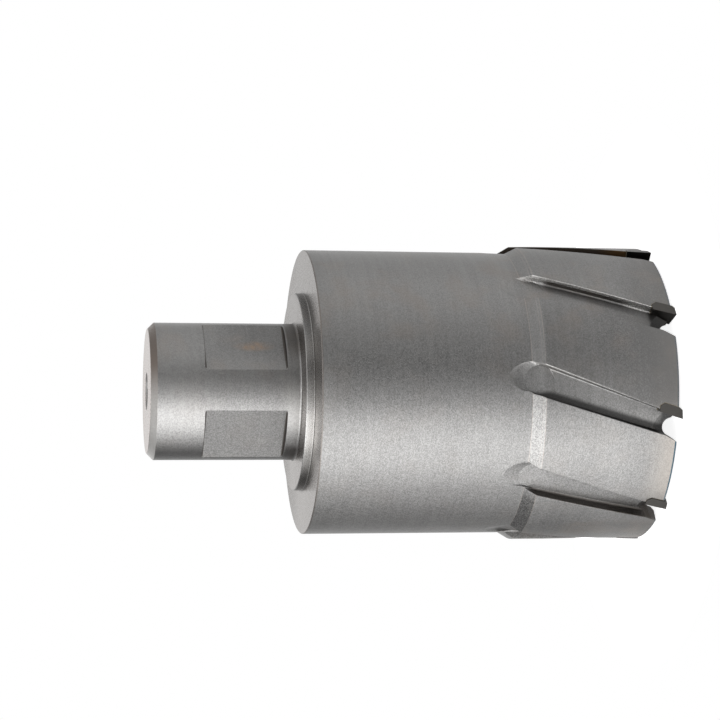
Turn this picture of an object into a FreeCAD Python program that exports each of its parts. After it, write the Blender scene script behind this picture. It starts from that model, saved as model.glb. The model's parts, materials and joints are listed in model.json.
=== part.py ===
import FreeCAD, Part
import math
import os

# Annular cutter, in millimetres.
# +Z runs along the axis towards the shank, and the cutting corners of the teeth lie at z = 0,
# so the cutter stands on its teeth. Its axis is the Z axis, and its origin is on that axis.

# Shank
shank_diameter = 31.75
shank_length = 34.0             # from the collar to the end face
shank_chamfer = 1.5
shank_root_fillet = 0.5
pilot_hole_diameter = 8.0
pilot_hole_chamfer = 0.45

# Clamping flats on the shank
flat_count = 2
flat_spacing = 90.0             # degrees between the flats
first_flat_angle = -135.0
flat_depth = 1.875              # below the shank's surface
flat_from_end = 12.2            # from the shank's end face to the flat
flat_from_collar = 3.1
flat_corner_radius = 0.3        # between the flat's face and its end walls

# Collar and cup
collar_width = 7.125            # round the shank
collar_height = 2.0
cutting_depth = 75.0            # from the cutting corners to the cup's inner floor
base_thickness = 6.35           # the cup's floor
bore_clearance = 0.4            # from what the teeth leave in the middle to the cup's bore
cup_floor_fillet = 2.5
edge_break = 0.15               # on the turned outer edges and the flutes' edges

# Head, which is larger than the body behind it
head_clearance = 0.3            # from the cutting circle to the head's surface
head_step = 1.6                 # from the head's surface to the body's
head_height = 31.5              # from the cutting corners to the cone
head_cone_height = 2.7
rim_outer_chamfer = 0.25
rim_inner_chamfer = 0.8

# Teeth
tooth_count = 9
first_tooth_angle = -61.0       # where the first cutting corner stands
cutting_diameter = 70.0
kerf_width = 4.4                # of the ring that the teeth cut
tip_standout = 0.85             # cutting corner below the rim
tip_length = 5.3
tip_thickness = 2.35
tip_rear_width = 1.4            # flat part of the tip's rear end, before its bevel
tip_rear_bevel = 1.1
tip_corner_bevel = 0.35
axial_rake = 16.7               # degrees
end_relief = 3.5                # degrees, behind the end cutting edge
end_concavity = 7.0             # degrees, the end cutting edge rises towards the core
side_relief = 4.0               # degrees, behind the outer cutting edge
side_taper = 1.0                # degrees, the tip narrows away from the end
braze_gap = 0.1                 # filler between a tip and its pocket

# Flutes
flute_depth = 2.2               # below the head's surface
rake_helix = 20.6               # degrees, the wall that carries the tip
heel_helix = 16.9               # degrees, the wall across from it
rake_wall_setback = 0.26        # behind the cutting corner, at the cutting plane
flute_width = 5.1               # at the cutting plane, on the head's surface
rake_fillet = 0.4
heel_fillet = 0.5
flute_past_head = 0.9           # the floor ends and the run-out begins this far up the cone
runout_radius = 3.45
runout_slope = 8.8              # degrees
flute_sections = 7

# Gullets, which open each flute's mouth through the wall
gullet_setback = 2.435          # from the cutting corner to the gullet's middle, along the bore
gullet_radius = 2.1             # at the bore
gullet_height = 1.3             # of the gullet's middle above the cutting plane
gullet_cone = 60.0              # degrees from the gullet's axis to its sloping side
gullet_wall_angle = 30.0        # degrees from the cutter's axis to the heel side

# Room for tools that cut past a surface
overcut = 2.0
fine_overcut = 0.2

# Worked out from the driving dimensions
shank_radius = shank_diameter / 2
flat_to_axis = shank_radius - flat_depth
collar_radius = shank_radius + collar_width
cutting_radius = cutting_diameter / 2
core_radius = cutting_radius - kerf_width
bore_radius = core_radius + bore_clearance
head_radius = cutting_radius - head_clearance
body_radius = head_radius - head_step
floor_radius = head_radius - flute_depth
flute_height = head_height + flute_past_head
gullet_lag = math.degrees(gullet_setback / bore_radius)
back_height = cutting_depth + base_thickness
collar_top = back_height + collar_height
shank_top = collar_top + shank_length
flat_top = shank_top - flat_from_end
flat_bottom = collar_top + flat_from_collar
rim_height = tip_standout
tooth_pitch = 360.0 / tooth_count
outside_radius = cutting_radius + overcut
inside_radius = core_radius - overcut


def tan(degrees):
    return math.tan(math.radians(degrees))


def sin(degrees):
    return math.sin(math.radians(degrees))


def cos(degrees):
    return math.cos(math.radians(degrees))


def point(x, y, z):
    return FreeCAD.Vector(x, y, z)


def turned(shape, angle):
    copy = shape.copy()
    copy.rotate(point(0, 0, 0), point(0, 0, 1), angle)
    return copy


def polygon_face(points):
    return Part.Face(Part.makePolygon(points + points[:1]))


def beyond_plane(place, normal):
    # A block that fills the side of a plane that its normal points to.
    size = 4 * outside_radius
    block = Part.makeBox(size, size, size, point(-size / 2, -size / 2, 0))
    block.Placement = FreeCAD.Placement(place, FreeCAD.Rotation(point(0, 0, 1), normal))
    return block


def blank():
    # Shank, collar, cup and head are turned from one bar. The shank's wall is in three
    # stretches, divided where the flats begin and end.
    chamfer = shank_radius - shank_chamfer
    root = shank_root_fillet
    hole = pilot_hole_diameter / 2
    cone_top = head_height + head_cone_height
    outline = [
        (hole + pilot_hole_chamfer, shank_top),
        (chamfer, shank_top),
        (shank_radius, shank_top - shank_chamfer),
        (shank_radius, flat_top),
        (shank_radius, flat_bottom),
        (shank_radius, collar_top + root),
        (shank_radius + root, collar_top),
        (collar_radius - edge_break, collar_top),
        (collar_radius, collar_top - edge_break),
        (collar_radius, back_height),
        (body_radius - edge_break, back_height),
        (body_radius, back_height - edge_break),
        (body_radius, cone_top),
        (head_radius, head_height),
        (head_radius, rim_height + rim_outer_chamfer),
        (head_radius - rim_outer_chamfer, rim_height),
        (bore_radius + rim_inner_chamfer, rim_height),
        (bore_radius, rim_height + rim_inner_chamfer),
        (bore_radius, cutting_depth - cup_floor_fillet),
        (bore_radius - cup_floor_fillet, cutting_depth),
        (hole, cutting_depth),
        (hole, shank_top - pilot_hole_chamfer),
    ]
    root_start = outline.index((shank_radius, collar_top + root))
    floor_corner = outline.index((bore_radius, cutting_depth - cup_floor_fillet))
    middle = math.sqrt(0.5)
    round_points = {
        root_start: (shank_radius + root * (1 - middle), collar_top + root * (1 - middle)),
        floor_corner: (
            bore_radius - cup_floor_fillet * (1 - middle),
            cutting_depth - cup_floor_fillet * (1 - middle),
        ),
    }
    edges = []
    for index, (radius, height) in enumerate(outline):
        start = point(radius, 0, height)
        next_radius, next_height = outline[(index + 1) % len(outline)]
        end = point(next_radius, 0, next_height)
        if index in round_points:
            via_radius, via_height = round_points[index]
            edges.append(Part.Arc(start, point(via_radius, 0, via_height), end).toShape())
        else:
            edges.append(Part.LineSegment(start, end).toShape())
    return Part.Face(Part.Wire(edges)).revolve(point(0, 0, 0), point(0, 0, 1), 360)


def shank_flats():
    # Each flat is milled across the shank, square to the axis at both its ends.
    block = Part.makeBox(
        overcut + shank_radius - flat_to_axis,
        2 * shank_radius,
        flat_top - flat_bottom,
        point(flat_to_axis, -shank_radius, flat_bottom),
    )
    corners = [
        edge for edge in block.Edges
        if max(vertex.X for vertex in edge.Vertexes) == flat_to_axis
        and edge.Vertexes[0].Z == edge.Vertexes[1].Z
    ]
    cut = block.makeFillet(flat_corner_radius, corners)
    return [turned(cut, first_flat_angle + number * flat_spacing) for number in range(flat_count)]


def rake_angle(height):
    # Where the flute's rake wall stands, from the tooth's own angle.
    return math.degrees((rake_wall_setback + height * tan(rake_helix)) / head_radius)


def heel_angle(height):
    return math.degrees(
        (rake_wall_setback - flute_width + height * tan(heel_helix)) / head_radius
    )


def flute_side(half, floor, fillet, side):
    # One side of a flute's section, from the floor outwards, in the frame of the flute's middle:
    # a rounded foot, a straight wall and a broken edge. The side is 1 for the rake, -1 for the heel.
    edge_radius = head_radius - edge_break
    flare = 2 * overcut
    centre_x = floor + fillet
    centre_y = (centre_x * sin(half) - fillet) / cos(half)
    turn = 135 + half / 2
    corners = [
        (floor, centre_y),
        (centre_x + fillet * cos(turn), centre_y + fillet * sin(turn)),
        (centre_x - fillet * sin(half), centre_y + fillet * cos(half)),
        (edge_radius * cos(half), edge_radius * sin(half)),
        (
            edge_radius * cos(half) + flare * cos(half + 45),
            edge_radius * sin(half) + flare * sin(half + 45),
        ),
    ]
    return [(x, side * y) for x, y in corners]


def flute_section(height, floor):
    half = (rake_angle(height) - heel_angle(height)) / 2
    middle = (rake_angle(height) + heel_angle(height)) / 2

    def placed(pair):
        x, y = pair
        return point(
            x * cos(middle) - y * sin(middle),
            x * sin(middle) + y * cos(middle),
            height,
        )

    rake = [placed(pair) for pair in flute_side(half, floor, rake_fillet, 1)]
    heel = [placed(pair) for pair in flute_side(half, floor, heel_fillet, -1)]
    return Part.Wire([
        Part.LineSegment(rake[4], rake[3]).toShape(),
        Part.LineSegment(rake[3], rake[2]).toShape(),
        Part.Arc(rake[2], rake[1], rake[0]).toShape(),
        Part.LineSegment(rake[0], heel[0]).toShape(),
        Part.Arc(heel[0], heel[1], heel[2]).toShape(),
        Part.LineSegment(heel[2], heel[3]).toShape(),
        Part.LineSegment(heel[3], heel[4]).toShape(),
        Part.LineSegment(heel[4], rake[4]).toShape(),
    ])


def flute():
    # The channel winds up the head, its floor rises to the body's surface, and it ends round.
    bottom = rim_height - overcut
    step = (flute_height - bottom) / (flute_sections - 1)
    heights = [bottom + number * step for number in range(flute_sections)]
    channel = Part.makeLoft([flute_section(height, floor_radius) for height in heights], True, False)
    ramp_radius = body_radius + fine_overcut
    ramp_end = flute_height + (ramp_radius - floor_radius) / tan(runout_slope)
    ramp = Part.makeLoft(
        [flute_section(flute_height, floor_radius), flute_section(ramp_end, ramp_radius)], True, True
    )
    helix = (rake_helix + heel_helix) / 2
    rise = body_radius - floor_radius + overcut / 2
    run = rise / tan(runout_slope)
    ring = Part.makeCircle(runout_radius, point(floor_radius, 0, flute_height), point(1, 0, 0))
    end = Part.Face(Part.Wire([ring])).extrude(point(rise, run * sin(helix), run * cos(helix)))
    middle = (rake_angle(flute_height) + heel_angle(flute_height)) / 2
    return channel.fuse([ramp, turned(end, middle)])


def gullet():
    # A cone from outside, a round hole through the wall and a mouth that opens to the rim.
    axis = point(1, 0, 0)
    hole = Part.makeCylinder(
        gullet_radius,
        bore_radius + overcut / 4 - inside_radius,
        point(inside_radius, 0, gullet_height),
        axis,
    )
    depth = outside_radius - bore_radius
    cone = Part.makeCone(
        gullet_radius,
        gullet_radius + depth * tan(gullet_cone),
        depth,
        point(bore_radius, 0, gullet_height),
        axis,
    )
    tangent_y = -gullet_radius * cos(gullet_wall_angle)
    tangent_z = gullet_height + gullet_radius * sin(gullet_wall_angle)
    below = rim_height - overcut
    reach = outside_radius * sin(tooth_pitch / 2)
    mouth = polygon_face([
        point(inside_radius, 0, gullet_height),
        point(inside_radius, tangent_y, tangent_z),
        point(inside_radius, tangent_y - (tangent_z - below) * tan(gullet_wall_angle), below),
        point(inside_radius, reach, below),
        point(inside_radius, reach, gullet_height),
    ]).extrude(point(outside_radius - inside_radius, 0, 0))
    heel_side = beyond_plane(
        point(0, tangent_y, tangent_z),
        point(0, -cos(gullet_wall_angle), sin(gullet_wall_angle)),
    )
    opening = hole.fuse([cone, mouth]).cut(heel_side)
    rake_side = beyond_plane(point(0, 0, 0), point(0, cos(axial_rake), -sin(axial_rake)))
    return turned(opening, -gullet_lag).cut(rake_side)


def tip_outline(gap, below):
    # The tip's side view, with its rake face on the left, as (y, z) pairs.
    # The gap widens its rear end, its bevel and its back for the pocket.
    slope = tan(axial_rake)
    top = tip_length + gap
    back = tip_thickness + gap / cos(axial_rake)
    bevel_z = tip_length - tip_rear_bevel
    bevel_y = bevel_z * slope + back
    rear_y = tip_length * slope + tip_rear_width + gap / 2
    return [
        (below * slope, below),
        (top * slope, top),
        (rear_y, top),
        (bevel_y, bevel_z),
        (below * slope + back, below),
    ]


def bar(outline, inner, outer):
    return polygon_face([point(inner, y, z) for y, z in outline]).extrude(
        point(outer - inner, 0, 0)
    )


def tip():
    # A carbide bar with ground flanks. Its cutting corner is at the cutting radius, y = 0, z = 0.
    outline = tip_outline(0.0, -overcut)
    corner = point(cutting_radius, 0, 0)
    body = bar(outline, core_radius, outside_radius)
    back_corner = point(corner.x, tip_thickness, tip_thickness * tan(end_relief))
    end_flank = beyond_plane(corner, point(-tan(end_concavity), tan(end_relief), -1))
    side_flank = beyond_plane(corner, point(1, tan(side_relief), tan(side_taper)))
    bevel = beyond_plane(
        back_corner - point(0, tip_corner_bevel, 0),
        point(0, sin(45), -cos(45)),
    )
    return body.cut([end_flank, side_flank, bevel])


def pocket():
    return bar(tip_outline(braze_gap, -overcut), inside_radius, outside_radius)


def save(shape, name):
    solids = shape.Solids
    solid = solids[0] if len(solids) == 1 else Part.makeCompound(solids)
    solid.exportStep(os.path.join("parts", name + ".step"))
    box = solid.BoundBox
    print(name, len(solids), "solid", round(solid.Volume, 2), "mm3,", solid.isValid(),
          "from", round(box.ZMin, 3), "to", round(box.ZMax, 3))


def main():
    os.makedirs("parts", exist_ok=True)
    angles = [first_tooth_angle + number * tooth_pitch for number in range(tooth_count)]
    one_flute = flute()
    one_gullet = gullet()
    openings = [turned(one_flute, angle) for angle in angles]
    openings += [turned(one_gullet, angle) for angle in angles]
    fluted = blank().cut(shank_flats() + openings)
    one_pocket = pocket()
    one_tip = tip()
    save(fluted.cut([turned(one_pocket, angle) for angle in angles]), "cutter_body")
    one_filler = turned(fluted, -angles[0]).common(one_pocket).cut(one_tip)
    for number, angle in enumerate(angles, start=1):
        save(turned(one_tip, angle), "carbide_tip_%d" % number)
        save(turned(one_filler, angle), "braze_layer_%d" % number)


main()
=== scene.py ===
import bpy
import bmesh
import json
import math
from mathutils import Matrix, Vector


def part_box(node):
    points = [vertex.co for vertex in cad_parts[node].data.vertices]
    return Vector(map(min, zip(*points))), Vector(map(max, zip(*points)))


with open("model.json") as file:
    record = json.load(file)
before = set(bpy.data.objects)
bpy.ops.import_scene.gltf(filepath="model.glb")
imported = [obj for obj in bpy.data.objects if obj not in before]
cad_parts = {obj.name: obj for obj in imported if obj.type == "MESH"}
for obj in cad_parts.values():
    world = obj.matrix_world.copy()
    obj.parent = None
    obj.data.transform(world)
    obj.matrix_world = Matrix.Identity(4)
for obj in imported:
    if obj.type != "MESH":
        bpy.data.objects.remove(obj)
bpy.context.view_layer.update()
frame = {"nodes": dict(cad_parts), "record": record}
nodes = frame["nodes"]
print("frame loaded:", len(nodes), "nodes")

millimetre = 0.001


# A shader socket that can be added, multiplied and so on
class Wire:
    def __init__(self, tree, socket=None):
        self.tree = tree
        self.socket = socket

    def node(self, kind, settings=None, inputs=None, output=0):
        item = self.tree.nodes.new(kind)
        for name, value in (settings or {}).items():
            if name == "stops":
                self.setStops(item.color_ramp, value)
            else:
                setattr(item, name, value)
        for name, value in (inputs or {}).items():
            if isinstance(value, Wire):
                self.tree.links.new(value.socket, item.inputs[name])
            else:
                item.inputs[name].default_value = value
        return Wire(self.tree, item.outputs[output] if len(item.outputs) else None)

    def setStops(self, ramp, stops):
        while len(ramp.elements) < len(stops):
            ramp.elements.new(0.5)
        for element, (position, level) in zip(ramp.elements, stops):
            element.position = position
            element.color = (level, level, level, 1.0)

    def other(self, name):
        return Wire(self.tree, self.socket.node.outputs[name])

    def maths(self, operation, *values):
        return self.node("ShaderNodeMath", {"operation": operation}, dict(enumerate(values)))

    def __add__(self, value):
        return self.maths("ADD", self, value)

    def __radd__(self, value):
        return self.maths("ADD", value, self)

    def __sub__(self, value):
        return self.maths("SUBTRACT", self, value)

    def __rsub__(self, value):
        return self.maths("SUBTRACT", value, self)

    def __mul__(self, value):
        return self.maths("MULTIPLY", self, value)

    def __rmul__(self, value):
        return self.maths("MULTIPLY", value, self)

    def __pow__(self, value):
        return self.maths("POWER", self, value)


def newMaterial(name):
    material = bpy.data.materials.new(name)
    material.use_nodes = True
    material.node_tree.nodes.clear()
    return material, Wire(material.node_tree)


def finishSurface(sheet, values):
    shader = sheet.node("ShaderNodeBsdfPrincipled", None, values)
    sheet.node("ShaderNodeOutputMaterial", None, {"Surface": shader})


def vectorMaths(place, operation, inputs=None, output="Vector"):
    inputs = {0: place, **(inputs or {})}
    return place.node("ShaderNodeVectorMath", {"operation": operation}, inputs, output)


def placeOn(sheet):
    # Object coordinates in millimetres
    place = sheet.node("ShaderNodeTexCoord", output="Object")
    return vectorMaths(place, "SCALE", {"Scale": 1 / millimetre})


def measures(place):
    # The height, the distance from the axis and the degrees round it
    x = place.node("ShaderNodeSeparateXYZ", None, {0: place})
    y, z = x.other("Y"), x.other("Z")
    return z, (x * x + y * y) ** 0.5, x.maths("ARCTAN2", y, x) * math.degrees(1)


def noise(place, size, detail=2.0, stretch=(1, 1, 1)):
    spread = vectorMaths(place, "MULTIPLY", {1: stretch})
    return place.node(
        "ShaderNodeTexNoise",
        None,
        {"Vector": spread, "Scale": 1 / size, "Detail": detail, "Roughness": 0.6},
    )


def rise(value, low, high):
    # 0 below low, 1 above high and a smooth change between them
    return value.node(
        "ShaderNodeMapRange",
        {"interpolation_type": "SMOOTHSTEP"},
        {"Value": value, "From Min": low, "From Max": high},
    )


def fall(value, low, high):
    return 1 - rise(value, low, high)


def band(value, low, high, soft):
    return rise(value, low - soft, low + soft) * fall(value, high - soft, high + soft)


def mixed(factor, first, second):
    inputs = {"Factor": factor}
    for slot, colour in ((6, first), (7, second)):      # the node's two colour sockets
        inputs[slot] = colour if isinstance(colour, Wire) else (*colour, 1)
    return factor.node("ShaderNodeMix", {"data_type": "RGBA"}, inputs, 2)


def roundedEdges(sheet, size):
    return sheet.node("ShaderNodeBevel", {"samples": 6}, {"Radius": size * millimetre})


# Sizes of the cutter in mm, heights above the cutting edges
mounts = {mount["name"]: mount for mount in frame["record"]["mounts"]}
cutter = {
    "shankTop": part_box("cutter_body")[1].z / millimetre,
    "shankChamfer": 1.5,
    "shankRadius": mounts["shank"]["dims"]["r_mm"],
    "flatMiddle": mounts["clamp_flat_left"]["pos_m"][2] / millimetre,
    "flatLength": 18.7,
    "collarTop": mounts["collar_seat"]["pos_m"][2] / millimetre,
    "collarHeight": 2.0,
    "collarRadius": 23.0,
    "bodyRadius": 33.1,
    "coneFoot": 34.2,       # where the cone meets the body
    "coneEdge": 31.5,       # and where it meets the head
    "coneSlope": 0.593,     # how much the radius grows with each mm downwards
    "headRadius": 34.7,
    "rimHeight": 0.85,
}
cutter["back"] = cutter["collarTop"] - cutter["collarHeight"]

# Where the flutes lie, as distances round the head's surface
flutes = {
    "count": 9,
    "firstTooth": -61,      # degrees round the axis
    "setback": 0.26,
    "width": 5.1,
    "rakeSlope": math.tan(math.radians(20.6)),
    "heelSlope": math.tan(math.radians(16.9)),
}


def acrossFlute(turn, z):
    # How far a point is from a flute's rake wall, negative across the flute, and from its heel
    perDegree = math.radians(1) * cutter["headRadius"]
    half = 180 * perDegree / flutes["count"]
    along = (turn - flutes["firstTooth"]) * perDegree
    across = along.maths("WRAP", along - flutes["setback"] - z * flutes["rakeSlope"], half, -half)
    return across, across + flutes["width"] + z * (flutes["rakeSlope"] - flutes["heelSlope"])


def fluteDepth(z, radius):
    # How far a point is below the body, the cone and the head
    step = cutter["headRadius"] - cutter["bodyRadius"]
    taper = z.maths("MINIMUM", (cutter["coneFoot"] - z) * cutter["coneSlope"], step)
    return cutter["bodyRadius"] + taper.maths("MAXIMUM", taper, 0.0) - radius


# Blasted and hardened tool steel
steel = {
    "colour": (0.416, 0.411, 0.405),
    "darkColour": (0.188, 0.186, 0.183),
    "bronzeColour": (0.34, 0.29, 0.25),
    "faceColour": (0.275, 0.248, 0.23),     # turned faces
    "faceShade": (0.155, 0.141, 0.131),     # and painted shade on their upper side
    "endColour": (0.52, 0.46, 0.43),
    "chamferColour": (0.18, 0.15, 0.13),
    "coneHighlightColour": (0.60, 0.52, 0.47),       # painted highlights along the cone's edges
    "highlightColour": (0.80, 0.79, 0.77),     # painted highlights
    "shadeColour": (0.046, 0.045, 0.044),
    # painted shade, brownish: in corners, on flute walls, at heels, in gullets and on the lowest land
    "brownShadeColour": (0.052, 0.042, 0.034),
    "stainColour": (0.50, 0.31, 0.17),
    "heatColour": (0.70, 0.63, 0.56),
    "rimColour": (0.05, 0.12, 0.17),
    "burntColour": (0.10, 0.055, 0.022),
    "roughness": 0.38,
    "faceRoughness": 0.27,
    "shankRoughness": 0.34,
    "roughSpread": 0.1,
    "grainSize": 0.2,       # of the blasted skin
    "grainDepth": 0.034,
    "turningSize": 0.16,    # of the grooves on the turned faces
    "turningDepth": 1.5,    # as a share of the grain's
    "cellDepth": 0.7,
    "fleckDepth": 0.5,
    "smoothCollar": 0.8,    # how much of the grain the collar's side has lost
    "edgeRadius": 0.12,
    "patchSize": 2.5,
    # Here and below, three numbers are the two ends of a stretch and how soft they are, and two
    # numbers are where a change begins and ends. Sides are in degrees round the axis: the camera
    # stands at -91.5, and 0 is uppermost from there. Low sides are in degrees down from there
    "upperSide": (-58, 160, 16),
    "litLandSide": (-136, -100, 8),        # of the land in the highlight, painted lighter
}


def laid(colour, factor, name):
    return mixed(factor, colour, steel[name])


# The skin. Tones say how much lighter a place is, or darker where they are negative
skin = {
    "cloudSize": 11.0,
    "cloudTone": 0.25,
    "ringSize": 0.8,
    "ringTone": 0.3,
    "fleckTone": 0.4,
    "coarser": 0.7,                     # how much stronger the flecks are lower down: real grain, with painted sparkle where the light falls
    "coarseLowSide": (84, 100),
    "headTone": -0.02,
    "headHeights": (30, 32),
    "darkLandTone": -0.14,
    "darkLandSide": (-97, -56, 4),
    "teethTone": -0.62,                 # painted shade towards the teeth
    "teethHeights": (-6, 24),
    "teethShade": 0.3,
    "teethShadeHeights": (-6, 16),
    "litLandTone": 0.18,
    "litLandHeights": (4, 20),
    "runOutTone": -0.2,                 # painted shade where one flute runs out into the body
    "runOutSide": (-105, -72, 3),
    "runOutHeights": (33.5, 41, 0.7),
    "lowLandTone": -0.12,
    "lowLandLowSide": (147, 153),
    "lowLandHeights": (31, 32),
    "lowLandShade": 0.3,
    "lowLandShadeHeights": (6, 22),
    "shankTone": 0.1,
    "shankTopTone": 0.2,
    "shankTopHeights": (98, 110),
    "upperShankTone": -0.35,
    "upperShankHeights": (93, 106),
    "upperCupTone": 0.12,
    "cupFrontTone": -0.18,
    "cupFrontSide": (-97, -78, 6),
    "cupHeights": (36, cutter["back"] - 2, 2),
    "bronzeSize": 7.0,
    "bronzeEdge": (0.45, 0.75),
    "bronze": 0.08,
    "upperBronze": 0.2,
    "upperBronzeSide": (-90, -65),
    "lowLandBronze": 0.3,
    "shankShade": 0.6,
    "shankShadeLowSide": (130, 158),
    "neckLight": 0.15,
    "neckLightSide": (-125, -85, 10),
    "neckLightHeights": (cutter["collarTop"], 87, 1.5),
}


def skinColour(place, z, radius, turn, fleck):
    collar, shank, body = cutter["collarTop"], cutter["shankRadius"], cutter["bodyRadius"]
    down = turn.maths("ABSOLUTE", turn)
    upper, litLand = band(turn, *steel["upperSide"]), band(turn, *steel["litLandSide"])
    cloud = noise(place, skin["cloudSize"], 3.0)
    rings = noise(place, skin["ringSize"], 2.0, (0.02, 0.02, 1))
    coarse = 1 + skin["coarser"] * rise(down, *skin["coarseLowSide"])
    tone = 0.5 + skin["cloudTone"] * (cloud - 0.5) + skin["ringTone"] * (rings - 0.5)
    tone = tone + skin["fleckTone"] * coarse * (fleck - 0.5)

    # Painted shade: the head a little darker, and the land facing the camera darker still
    headShade = skin["headTone"] + skin["darkLandTone"] * band(turn, *skin["darkLandSide"])
    tone = tone + headShade * fall(z, *skin["headHeights"])
    # Painted shade towards the teeth on all lands but the lit one, and a painted highlight on that one
    tone = tone + skin["teethTone"] * fall(z, *skin["teethHeights"]) * (1 - litLand)
    tone = tone + skin["litLandTone"] * fall(z, *skin["litLandHeights"]) * litLand
    # Painted shade in the run-out of the flute next to the camera
    runOut = band(z, *skin["runOutHeights"]) * fall(radius, body - 0.2, body - 0.05)
    tone = tone + skin["runOutTone"] * runOut * band(turn, *skin["runOutSide"])
    # Painted shade on the lowest land
    lowLand = rise(down, *skin["lowLandLowSide"]) * fall(z, *skin["lowLandHeights"])
    tone = tone + skin["lowLandTone"] * lowLand

    aboveCollar = rise(z, collar, collar + 0.1)
    onShank = rise(radius, shank - 0.055, shank - 0.015) * aboveCollar
    # Painted light and shade on the shank: lighter towards its end except on its upper side, and darker
    # on its upper side near the collar
    shankTop = rise(z, *skin["shankTopHeights"]) * (1 - upper)
    tone = tone + (skin["shankTone"] + skin["shankTopTone"] * shankTop) * onShank
    tone = tone + skin["upperShankTone"] * upper * aboveCollar * fall(z, *skin["upperShankHeights"])
    # Painted light on the cup's upper side and painted shade on its side towards the camera
    onCup, front = band(z, *skin["cupHeights"]), band(turn, *skin["cupFrontSide"])
    tone = tone + onCup * (skin["upperCupTone"] * upper + skin["cupFrontTone"] * front)
    colour = mixed(tone, steel["darkColour"], steel["colour"])

    bronze = skin["upperBronze"] * rise(turn, *skin["upperBronzeSide"]) * (1 - lowLand)
    bronze = skin["bronze"] + bronze + skin["lowLandBronze"] * lowLand
    bronze = bronze * rise(noise(place, skin["bronzeSize"]), *skin["bronzeEdge"])
    colour = laid(colour, bronze, "bronzeColour")
    shankShade = onShank * rise(down, *skin["shankShadeLowSide"]) * skin["shankShade"]
    colour = laid(colour, shankShade, "shadeColour")
    # Painted shade, brownish, on the lowest land towards the teeth
    lowShade = lowLand * fall(z, *skin["lowLandShadeHeights"]) * skin["lowLandShade"]
    colour = laid(colour, lowShade, "brownShadeColour")
    teethShade = fall(z, *skin["teethShadeHeights"]) * (1 - litLand) * skin["teethShade"]
    colour = laid(colour, teethShade, "shadeColour")
    neck = band(z, *skin["neckLightHeights"]) * onShank * band(turn, *skin["neckLightSide"])
    return laid(colour, neck * skin["neckLight"], "highlightColour"), onShank


# The turned faces of the back, the collar and the shank's end, and the collar's side. From here
# on a plain number is how much of a colour lies on a place, and one below 0 takes some of it away
turned = {
    "backEdge": 0.5,
    "cover": 0.77,
    "coverFleck": 0.12,                 # how much more on each fleck
    "shade": 0.74,
    "nearCollarShade": 0.15,
    "nearCollarWidth": 5.0,             # mm
    "end": 0.7,
    "endFleck": 0.3,
    "sideLight": 0.35,
    "sideDark": 0.5,
    "sideShade": 0.6,
    "sideShadeLowSide": (135, 152),
    "footLight": 0.4,
    "chamferInside": (12, 13),          # radii between the pilot hole and the chamfer
    "chamfer": 0.95,
    "chamferLower": -0.6,
    "chamferUpperSide": (-85, 160, 20),
    "chamferLight": 0.25,
    "chamferLowLight": 0.35,
    "chamferLowSide": (110, 135),
}


def atHeight(z, height):
    return band(z, height - 0.05, height + 0.05, 0.03)


def turnedFaces(colour, z, radius, turn, fleck):
    top, back, collar = cutter["shankTop"], cutter["back"], cutter["collarTop"]
    edge, body = cutter["collarRadius"], cutter["bodyRadius"]
    down, upper = turn.maths("ABSOLUTE", turn), band(turn, *steel["upperSide"])
    backEdge = band(z, back - 0.3, back - 0.05, 0.06) * rise(radius, body - 0.2, body - 0.1)
    colour = laid(colour, backEdge * turned["backEdge"], "chamferColour")

    backFace = atHeight(z, back) * rise(radius, edge + 0.05, edge + 0.2)
    broadFaces = backFace + atHeight(z, collar) * fall(radius, edge - 0.3, edge - 0.1)
    colour = laid(colour, broadFaces * (turned["cover"] + turned["coverFleck"] * fleck), "faceColour")
    # Painted shade on the faces' upper side, more next to the collar
    nearCollar = backFace * fall(radius, edge + 0.2, edge + turned["nearCollarWidth"])
    shade = broadFaces * turned["shade"] + nearCollar * turned["nearCollarShade"]
    colour = laid(colour, shade * upper, "faceShade")
    endFace = rise(z, top - 0.1, top - 0.03)
    colour = laid(colour, endFace * (turned["end"] + turned["endFleck"] * fleck), "endColour")

    atSide = band(radius, edge - 0.1, edge + 0.1, 0.05)
    collarSide = band(z, back + 0.15, collar - 0.05, 0.05) * atSide
    # The collar's side: a painted highlight below, painted shade above and on its lowest side
    colour = laid(colour, collarSide * (1 - upper) * turned["sideLight"], "highlightColour")
    colour = laid(colour, collarSide * upper * turned["sideDark"], "darkColour")
    sideShade = collarSide * rise(down, *turned["sideShadeLowSide"])
    colour = laid(colour, sideShade * turned["sideShade"], "shadeColour")
    # A painted highlight along the collar's foot
    foot = band(z, back + 0.12, back + 0.34, 0.04) * atSide
    colour = laid(colour, foot * turned["footLight"], "highlightColour")

    # The chamfer: brown, painted darker on its upper side as shade, with a painted highlight on its lower
    # side
    chamfer = band(z, top - cutter["shankChamfer"], top - 0.1, 0.05)
    chamfer = chamfer * rise(radius, *turned["chamferInside"])
    lower = 1 - band(turn, *turned["chamferUpperSide"])
    dark = chamfer * (turned["chamfer"] + turned["chamferLower"] * lower)
    colour = laid(colour, dark, "chamferColour")
    lowest = rise(down, *turned["chamferLowSide"])
    light = chamfer * lower * (turned["chamferLight"] + turned["chamferLowLight"] * lowest)
    return laid(colour, light, "highlightColour"), broadFaces + endFace, collarSide


# The cone between the body and the head, with painted highlight lines along its edges, painted shade on
# its low side and a painted highlight on its lit side
cone = {
    "lines": 0.8,
    "secondLine": 0.6,      # as a share of the first
    "secondHeight": 0.6,    # mm above the first
    "shade": 0.8,
    "shadeFleck": -0.5,
    "shadeSide": (-172, -135, 3),
    "light": 0.25,
    "lightSide": (-122, -88, 5),
}


def highlightLine(z, height, width):
    return band(z, height - width, height + width, 0.1)


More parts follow.
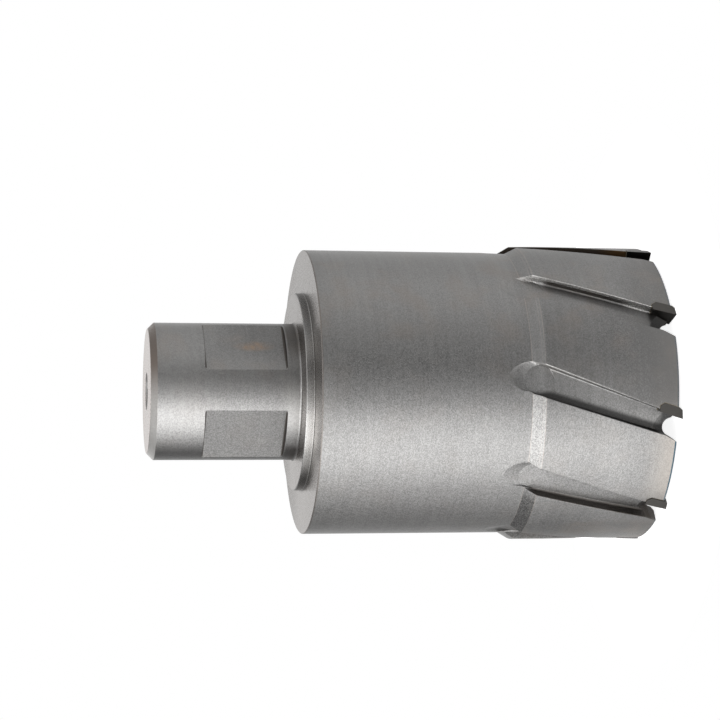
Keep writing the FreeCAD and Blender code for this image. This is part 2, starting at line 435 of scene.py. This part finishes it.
def coneColour(colour, z, radius, turn, fleck, patches):
    foot, edge = cutter["coneFoot"], cutter["coneEdge"]
    body, head = cutter["bodyRadius"], cutter["headRadius"]
    second = highlightLine(z, edge + cone["secondHeight"], 0.05)
    edgeLines = highlightLine(z, edge, 0.06) + cone["secondLine"] * second
    footLine = highlightLine(z, foot, 0.06) * rise(radius, body - 0.1, body - 0.02)
    lines = footLine + edgeLines * rise(radius, head - 0.6, head - 0.4)
    colour = laid(colour, lines * patches * cone["lines"], "coneHighlightColour")
    onCone = band(z, edge, foot, 0.1) * rise(radius, body - 0.05, body + 0.05)
    shaded = onCone * band(turn, *cone["shadeSide"])
    colour = laid(colour, shaded * (cone["shade"] + cone["shadeFleck"] * fleck), "shadeColour")
    return laid(colour, onCone * band(turn, *cone["lightSide"]) * cone["light"] * fleck, "highlightColour")


# Painted shade in the corners of the flats, at the collar's foot and on the neck, and an old stain on one
# flat
shadeAndStain = {
    "cover": 0.85,
    "boreMouth": (8, 9),                # radii between which the flats' painted shade begins
    "farCorner": 0.9,
    "farCornerUpper": -0.35,
    "collarFoot": 0.75,
    "collarFootWidth": 0.9,             # mm
    "neck": 0.65,
    "lowNeck": 0.8,
    "lowNeckSide": (-180, -143, 6),
    "stain": 0.21,
    "stainSpots": 0.3,                  # how much more where the patches are
    "stainSpotEdge": (0.4, 0.6),
    "stainPlace": (10.1, -9.7, 93.7),
    "stainShape": (1.3, 1.3, 0.5),      # narrowed sideways and stretched upwards
    "stainRadius": 2.8,
}


def paintShadeAndStain(colour, place, z, radius, turn, onShank, patches):
    back, collar = cutter["back"], cutter["collarTop"]
    edge, shank = cutter["collarRadius"], cutter["shankRadius"]
    low = cutter["flatMiddle"] - cutter["flatLength"] / 2
    high = low + cutter["flatLength"]
    upper, lowNeck = band(turn, *steel["upperSide"]), band(turn, *shadeAndStain["lowNeckSide"])
    onFlats = fall(radius, shank - 0.275, shank - 0.075) * rise(radius, *shadeAndStain["boreMouth"])
    farCorner = band(z, high - 0.35, high + 0.2, 0.08)
    farCorner = farCorner * (shadeAndStain["farCorner"] + shadeAndStain["farCornerUpper"] * upper)
    corners = band(z, low - 0.2, low + 0.35, 0.08) + farCorner
    foot = band(z, back - 0.1, back + 0.1, 0.04)
    foot = foot * fall(radius, edge + 0.2, edge + shadeAndStain["collarFootWidth"])
    neck = band(z, collar, low - 0.3, 0.2) * onShank * (upper + shadeAndStain["lowNeck"] * lowNeck)
    # Painted shade in the corners, at the collar's foot and on the neck
    cornerShade = corners * onFlats + shadeAndStain["collarFoot"] * foot + shadeAndStain["neck"] * neck
    colour = laid(colour, cornerShade * shadeAndStain["cover"], "brownShadeColour")

    offset = vectorMaths(place, "SUBTRACT", {1: shadeAndStain["stainPlace"]})
    away = vectorMaths(vectorMaths(offset, "MULTIPLY", {1: shadeAndStain["stainShape"]}), "LENGTH", output="Value")
    spots = shadeAndStain["stain"] + shadeAndStain["stainSpots"] * rise(patches, *shadeAndStain["stainSpotEdge"])
    return laid(colour, fall(away, 0.1, shadeAndStain["stainRadius"]) * spots, "stainColour")


# Heat colours that the brazing left behind the rim; on the lit land their pale tint is also a painted
# highlight
heat = {
    "tint": 0.4,
    "patchTint": 0.4,
    "heights": (-2, 9),
    "everywhere": 0.12,
    "litLand": 0.88,
    "farLands": 0.25,
    "farSide": (25, 155, 15),
    "rim": 0.15,
    "heatedRim": 0.8,
}


def heatedRim(colour, z, radius, turn, patches):
    rimTop, head = cutter["rimHeight"] + 0.35, cutter["headRadius"]
    litLand, farLands = band(turn, *steel["litLandSide"]), band(turn, *heat["farSide"])
    heated = heat["everywhere"] + heat["litLand"] * litLand + heat["farLands"] * farLands
    tint = fall(z, *heat["heights"]) * rise(radius, head - 0.4, head - 0.15) * heated
    colour = laid(colour, tint * (heat["tint"] + heat["patchTint"] * patches), "heatColour")
    rim = fall(z, rimTop, rimTop + 0.2) * rise(radius, head - 0.8, head - 0.4)
    return laid(colour, rim * (heat["rim"] + heat["heatedRim"] * heated), "rimColour")


# Milled walls of the flutes with painted light and shade, and painted shade at the heels and in the
# gullets. Widths are measured in mm from the rake wall, negative across the flute, and those of a heel
# from the heel
fluted = {
    "wallWidth": (-0.4, 0.4, 0.05),
    "wallHeights": (4.5, 36, 0.5),
    "shade": 0.1,
    "shadeAbove": 0.6,                  # how much more higher up
    "shadeHeights": (6, 15),
    "shadeDepths": (0.9, 1.9, 0.15),
    "litSide": (-105, -70, 3),
    "litShade": -0.75,
    "litEnd": -0.6,
    "litEndHeights": (31, 34),
    "topWall": 0.85,
    "topWallSide": (-28, 5, 2),
    "burntHeights": (7, 13),
    "light": 0.2,
    "lightFleck": 0.5,
    "lightDepths": (0.7, 0.95),
    "glintEndSide": (-65, -20, 5),
    "glintEndHeights": (27.5, 30),
    "glintSide": (-66, -50, 2),
    "glintHeights": (6, 11, 1.5),
    "heelSide": (-165, -86, 3),
    "heelHeights": (32, 34),
    "steepSide": (-122, -112),          # where the heels turn away from the camera
    "steepHeel": 0.93,
    "steepHeelWidth": (1.1, 2.5),
    "flatHeel": 0.3,
    "flatHeelWidth": (0.2, 3.2),
    "narrower": 1.6,                    # how much the steep heels narrow towards their end
    "narrowerHeights": (29, 35),
    "heelStart": (-0.7, -0.5),
    "heelEdgeWidth": (-0.5, 0.4, 0.1),
    "heelEdge": 0.72,
    "steepHeelEdge": 0.1,
    "floorShade": 0.42,
    "floorWidth": (-2.3, -0.35, 0.5),
    "floorSide": (-68, -38, 3),
    "floorHeights": (9, 29, 3),
    "gullet": 0.6,
    "gulletHeights": (3.6, 4.6),
    "gulletRadii": (31.2, 34.2, 0.1),
    "gulletWidth": (-8, -0.1, 0.1),
    "lowGullet": -0.12,
    "lowGulletSide": (-160, -142, 2),
    "tipShadow": 0.85,
    "tipShadowSide": (-76, 165, 3),
    "tipShadowHeights": (5.2, 6.2),
    "tipShadowWidth": (-5.2, -0.2, 0.1),
}


def wallColour(colour, z, turn, fleck, depth, wall):
    topWall, lit = band(turn, *fluted["topWallSide"]), band(turn, *fluted["litSide"])
    glintEnd = rise(z, *fluted["glintEndHeights"]) * band(turn, *fluted["glintEndSide"])
    # Painted shade down the wall, less on the lit flute; the uppermost flute's wall is dark along its
    # length and brown near the tips
    shade = fluted["shade"] + fluted["shadeAbove"] * rise(z, *fluted["shadeHeights"])
    shade = shade * band(depth, *fluted["shadeDepths"]) * (1 - glintEnd) * (1 + fluted["litShade"] * lit)
    colour = laid(colour, wall * (topWall + (1 - topWall) * shade), "brownShadeColour")
    burntFoot = wall * topWall * fall(z, *fluted["burntHeights"])
    colour = laid(colour, burntFoot * fluted["topWall"], "burntColour")
    # A painted highlight along the wall's top, at its end near the run-out and as a glint near the tips
    litEnd = 1 + fluted["litEnd"] * lit * rise(z, *fluted["litEndHeights"])
    light = fall(depth, *fluted["lightDepths"]) * litEnd + glintEnd
    glint = band(turn, *fluted["glintSide"]) * band(z, *fluted["glintHeights"])
    light = light.maths("MAXIMUM", light, glint) * (1 - topWall)
    return laid(colour, wall * light * (fluted["light"] + fluted["lightFleck"] * fleck), "highlightColour")


def fluteColour(colour, z, radius, turn, fleck):
    across, heelDistance = acrossFlute(turn, z)
    depth = fluteDepth(z, radius)
    inFlute = rise(depth, 0.02, 0.1)
    wall = band(across, *fluted["wallWidth"]) * band(z, *fluted["wallHeights"]) * inFlute
    colour = wallColour(colour, z, turn, fleck, depth, wall)

    # Painted shade along the heels, darkest where they turn away from the camera
    steep = rise(turn, *fluted["steepSide"])
    deepShade = mixed(steep, steel["brownShadeColour"], steel["shadeColour"])
    heels = band(turn, *fluted["heelSide"]) * fall(z - 3 * steep, *fluted["heelHeights"]) * inFlute
    narrower = heelDistance + fluted["narrower"] * rise(z, *fluted["narrowerHeights"])
    heel = steep * fall(narrower, *fluted["steepHeelWidth"]) * fluted["steepHeel"]
    heel = heel + (1 - steep) * fall(heelDistance, *fluted["flatHeelWidth"]) * fluted["flatHeel"]
    heelEdge = fluted["heelEdge"] + fluted["steepHeelEdge"] * steep
    heel = heel.maths("MAXIMUM", heel, band(heelDistance, *fluted["heelEdgeWidth"]) * heelEdge)
    colour = mixed(heel * rise(heelDistance, *fluted["heelStart"]) * heels, colour, deepShade)

    floor = band(turn, *fluted["floorSide"]) * band(z, *fluted["floorHeights"])
    floor = floor * band(across, *fluted["floorWidth"]) * inFlute
    colour = laid(colour, floor * fluted["floorShade"], "shadeColour")
    # Painted shade in the gullets and a painted shadow below the tips
    gullet = fluted["gullet"] + fluted["lowGullet"] * band(turn, *fluted["lowGulletSide"])
    gullet = gullet * fall(z, *fluted["gulletHeights"]) * band(radius, *fluted["gulletRadii"])
    gullet = gullet * band(across, *fluted["gulletWidth"])
    tipShadow = fall(z, *fluted["tipShadowHeights"]) * band(turn, *fluted["tipShadowSide"])
    tipShadow = tipShadow * band(across, *fluted["tipShadowWidth"]) * inFlute
    return mixed(gullet.maths("MAXIMUM", gullet, tipShadow * fluted["tipShadow"]), colour, deepShade)


def steelMaterial():
    material, sheet = newMaterial("blastedSteel")
    place = placeOn(sheet)
    z, radius, turn = measures(place)
    cells = place.node("ShaderNodeTexVoronoi", None, {"Vector": place, "Scale": 1 / steel["grainSize"]})
    fleck = place.node("ShaderNodeSeparateXYZ", None, {0: cells.other("Color")})
    patches = noise(place, steel["patchSize"], 3.0)
    colour, onShank = skinColour(place, z, radius, turn, fleck)
    colour, faces, collarSide = turnedFaces(colour, z, radius, turn, fleck)
    colour = coneColour(colour, z, radius, turn, fleck, patches)
    colour = paintShadeAndStain(colour, place, z, radius, turn, onShank, patches)
    colour = heatedRim(colour, z, radius, turn, patches)
    colour = fluteColour(colour, z, radius, turn, fleck)

    grain = steel["cellDepth"] * cells + steel["fleckDepth"] * fleck
    grain = grain * (1 - faces - steel["smoothCollar"] * collarSide)
    grooves = noise(radius.node("ShaderNodeCombineXYZ", None, {0: radius}), steel["turningSize"])
    bump = sheet.node(
        "ShaderNodeBump",
        None,
        {
            "Strength": 1.0,
            "Distance": steel["grainDepth"] * millimetre,
            "Height": grain + faces * grooves * steel["turningDepth"],
            "Normal": roundedEdges(sheet, steel["edgeRadius"]),
        },
    )
    pastBack = rise(z, cutter["back"] - 0.2, cutter["back"])
    roughness = steel["roughness"] + (steel["shankRoughness"] - steel["roughness"]) * pastBack
    roughness = roughness + (steel["faceRoughness"] - steel["shankRoughness"]) * (faces + collarSide)
    finishSurface(sheet, {
        "Base Color": colour,
        "Metallic": 1.0,
        "Roughness": roughness + steel["roughSpread"] * (fleck - 0.5),
        "Normal": bump,
    })
    return material


# Ground carbide, with painted shade on the rake face
carbide = {
    "darkColour": (0.0656, 0.0624, 0.0584),
    "lightColour": (0.0984, 0.0936, 0.0876),
    "rakeColour": (0.016, 0.015, 0.014),
    "rakeEdge": (0.24, 0.15),       # its tone ends between these distances from the rake wall
    "lineSize": 0.12,               # of the grinding lines
    "lineTone": 0.6,
    "innerEnd": 31,                 # radius of the tips' inner ends
    "paler": (0.5, 0.75),           # how fast the painted shade on the rake face fades upwards and outwards
    "palerEdge": (-0.8, 2.9),
    "topTipSide": (-40, 0, 5),      # whose rake face keeps its painted shade to its end
    "edgeRadius": 0.06,
    "roughness": 0.36,
    "roughSpread": 0.15,
}


def carbideMaterial():
    material, sheet = newMaterial("groundCarbide")
    place = placeOn(sheet)
    z, radius, turn = measures(place)
    lines = noise(place, carbide["lineSize"], 2.0, (1, 1, 0.1)) - 0.5
    tone = 0.5 + carbide["lineTone"] * lines
    colour = mixed(tone, carbide["darkColour"], carbide["lightColour"])
    heelDistance = acrossFlute(turn, z)[1]
    rakeFace = fall(heelDistance, *[flutes["width"] - gap for gap in carbide["rakeEdge"]])
    upwards, outwards = carbide["paler"]
    pale = rise(z * upwards + (radius - carbide["innerEnd"]) * outwards, *carbide["palerEdge"])
    rakeFace = rakeFace * (1 - pale * (1 - band(turn, *carbide["topTipSide"])))
    finishSurface(sheet, {
        "Base Color": mixed(rakeFace, colour, carbide["rakeColour"]),
        "Metallic": 1.0,
        "Roughness": carbide["roughness"] + carbide["roughSpread"] * lines,
        "Normal": roundedEdges(sheet, carbide["edgeRadius"]),
    })
    return material


solder = {
    "colour": (0.33, 0.285, 0.21),
    "dullColour": (0.231, 0.1995, 0.147),
    "cloudSize": 0.6,
    "roughness": 0.42,
    "roughSpread": 0.2,
}


def solderMaterial():
    material, sheet = newMaterial("silverSolder")
    cloud = noise(placeOn(sheet), solder["cloudSize"])
    finishSurface(sheet, {
        "Base Color": mixed(cloud, solder["dullColour"], solder["colour"]),
        "Metallic": 1.0,
        "Roughness": solder["roughness"] + solder["roughSpread"] * (cloud - 0.5),
    })
    return material


finishes = {
    "cutter_body": steelMaterial(),
    "carbide_tip": carbideMaterial(),
    "braze_layer": solderMaterial(),
}
for name, item in nodes.items():
    for start, material in finishes.items():
        if name.startswith(start):
            item.data.materials.clear()
            item.data.materials.append(material)
print("finishes given")


# A small paper-covered table in a soft studio that is darker on the camera's side
studio = {
    "paperRadius": 0.065,
    "paperColour": (0.86, 0.86, 0.86),
    "paperGlow": 0.88,      # what the paper adds for the camera
    "paperEcho": 0.3,       # and in a reflection, so that it is white there too
    "zenith": 0.95,
    "zenithEdge": (0.55, 0.9),      # squared height in the sky where the zenith's light begins
    "backdropEdge": (0.94, 0.98),   # how far behind the table the white backdrop begins
    # light from round the table: degrees from the camera's side, positive towards +X
    "levels": {
        -180: 1.0, -165: 0.89, -150: 0.55, -135: 0.27, -120: 0.31, -105: 0.51, -90: 0.96, -75: 1.25,
        -60: 1.25, -45: 1.24, -30: 1.22, -15: 1.05, 0: 0.61, 15: 0.23, 30: 0.22, 45: 0.52, 60: 0.68,
        75: 0.71, 90: 0.77, 105: 0.66, 120: 0.57, 135: 0.58, 150: 0.69, 165: 0.85, 180: 1.0,
    },
}


def seenAsBackground(sheet):
    # 1 for rays from the camera, and 1 for rays in a reflection or through glass
    ray = sheet.node("ShaderNodeLightPath")
    return ray, ray.other("Is Glossy Ray") + ray.other("Is Transmission Ray")


def buildTable():
    mesh = bmesh.new()
    bmesh.ops.create_circle(mesh, cap_ends=True, segments=96, radius=studio["paperRadius"])
    data = bpy.data.meshes.new("studioPaper")
    mesh.to_mesh(data)
    mesh.free()
    table = bpy.data.objects.new("studioPaper", data)
    bpy.context.scene.collection.objects.link(table)
    material, sheet = newMaterial("studioPaper")
    direct, reflected = seenAsBackground(sheet)
    paper = sheet.node("ShaderNodeBsdfDiffuse", None, {"Color": (*studio["paperColour"], 1)})
    strength = direct * studio["paperGlow"] + reflected * studio["paperEcho"]
    glow = sheet.node("ShaderNodeEmission", None, {"Color": (1, 1, 1, 1), "Strength": strength})
    both = sheet.node("ShaderNodeAddShader", None, {0: paper, 1: glow})
    sheet.node("ShaderNodeOutputMaterial", None, {"Surface": both})
    data.materials.append(material)


def buildSky():
    world = bpy.data.worlds.new("studioSky")
    world.use_nodes = True
    bpy.context.scene.world = world
    world.node_tree.nodes.clear()
    sheet = Wire(world.node_tree)
    direction = sheet.node("ShaderNodeTexCoord", output="Generated")
    x = direction.node("ShaderNodeSeparateXYZ", None, {0: direction})
    y, z = x.other("Y"), x.other("Z")
    turn = sheet.maths("ARCTAN2", x, 0 - y) * (0.5 / math.pi) + 0.5
    highest = max(studio["levels"].values())
    stops = [(angle / 360 + 0.5, level / highest) for angle, level in studio["levels"].items()]
    around = sheet.node("ShaderNodeValToRGB", {"stops": stops}, {"Fac": turn}) * highest
    overhead = rise(z * z, *studio["zenithEdge"])
    level = around * (1 - overhead) + studio["zenith"] * overhead
    direct, reflected = seenAsBackground(sheet)
    backdrop = rise(y, *studio["backdropEdge"])
    white = sheet.maths("MINIMUM", direct + reflected * backdrop, 1.0)
    sky = sheet.node(
        "ShaderNodeBackground", None, {"Color": (1, 1, 1, 1), "Strength": white + (1 - white) * level}
    )
    sheet.node("ShaderNodeOutputWorld", None, {"Surface": sky})


# Two soft boxes, one above the other, beside the camera
lamps = {
    "key": {"place": (-0.72, -0.70, 0.06), "width": 0.8, "height": 1.1, "power": 3.9},
    "high": {"place": (-0.50, -0.47, 0.79), "width": 0.8, "height": 0.6, "power": 2.8},
}
lookedAt = Vector((0, 0, 0.06))


def buildLamps():
    for name, lamp in lamps.items():
        light = bpy.data.lights.new(name + "Lamp", "AREA")
        light.shape = "RECTANGLE"
        light.size = lamp["width"]
        light.size_y = lamp["height"]
        light.energy = lamp["power"]
        item = bpy.data.objects.new(name + "Lamp", light)
        bpy.context.scene.collection.objects.link(item)
        item.location = lamp["place"]
        item.rotation_euler = (lookedAt - item.location).to_track_quat("-Z", "Y").to_euler()


# The camera stands level with the cutter's side, turned so that the shank is at the left
photoCamera = {
    "place": (-11.74, -460.25, 146.97),     # mm
    "right": (-0.00084, -0.17041, -0.98536),
    "up": (0.99917, -0.04078, 0.0062),
    "lens": 99.4,
    "sensor": 36.0,
}


def buildCamera():
    view = bpy.data.cameras.new("photoCamera")
    view.sensor_width = photoCamera["sensor"]
    view.lens = photoCamera["lens"]
    camera = bpy.data.objects.new("photoCamera", view)
    bpy.context.scene.collection.objects.link(camera)
    right = Vector(photoCamera["right"]).normalized()
    back = right.cross(Vector(photoCamera["up"])).normalized()
    up = back.cross(right)
    turn = Matrix((right, up, back)).transposed().to_4x4()
    camera.matrix_world = Matrix.Translation(Vector(photoCamera["place"]) * millimetre) @ turn
    bpy.context.scene.camera = camera


buildTable()
buildSky()
buildLamps()
buildCamera()
bpy.context.scene.view_settings.view_transform = "Standard"
print("studio ready")
